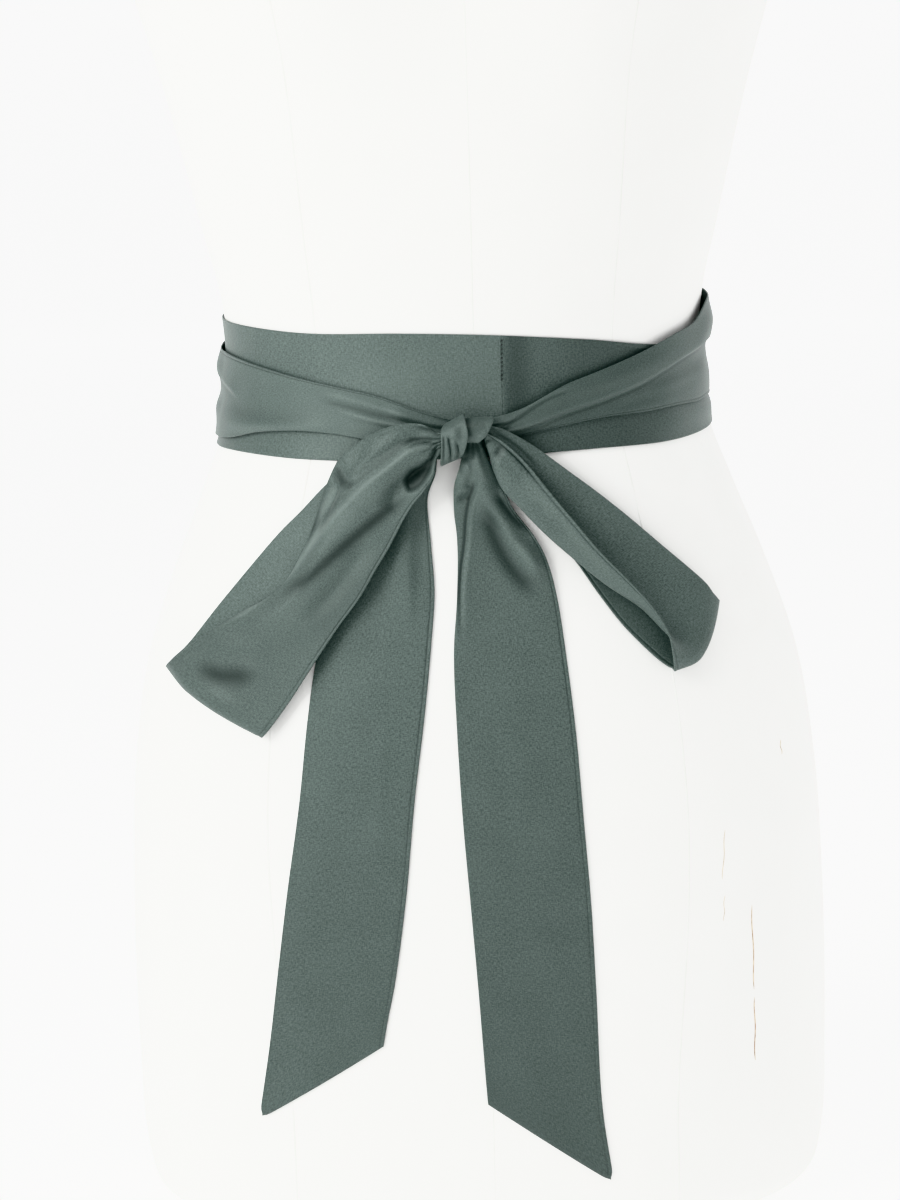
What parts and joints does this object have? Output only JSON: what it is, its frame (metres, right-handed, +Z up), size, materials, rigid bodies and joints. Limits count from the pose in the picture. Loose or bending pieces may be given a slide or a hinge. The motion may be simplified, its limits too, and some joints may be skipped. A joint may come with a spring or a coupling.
{
  "type": "satin sash on a dress form",
  "caption": "Long satin sash wound twice round the waist of a limbless dress form and tied at the front in a bow with slanted tails.",
  "frame": {"origin": "centre of the dress form's flat bottom, on the surface it stands on", "axes": "+Z up, -Y towards the viewer who faces the bow, +X to that viewer's right"},
  "size_m": [0.3636, 0.2426, 0.85],
  "materials": {
    "satin": "sage green satin with a soft sheen",
    "form": "smooth white painted shell, satin matte"
  },
  "bodies": {
    "root": {"dress_form": "form", "sash_first_wrap": "satin", "sash_second_wrap_left": "satin", "sash_second_wrap_right": "satin", "bow_knot": "satin", "bow_loop_left": "satin", "bow_loop_right": "satin", "tail_left": "satin", "tail_right": "satin"}
  },
  "joints": []
}
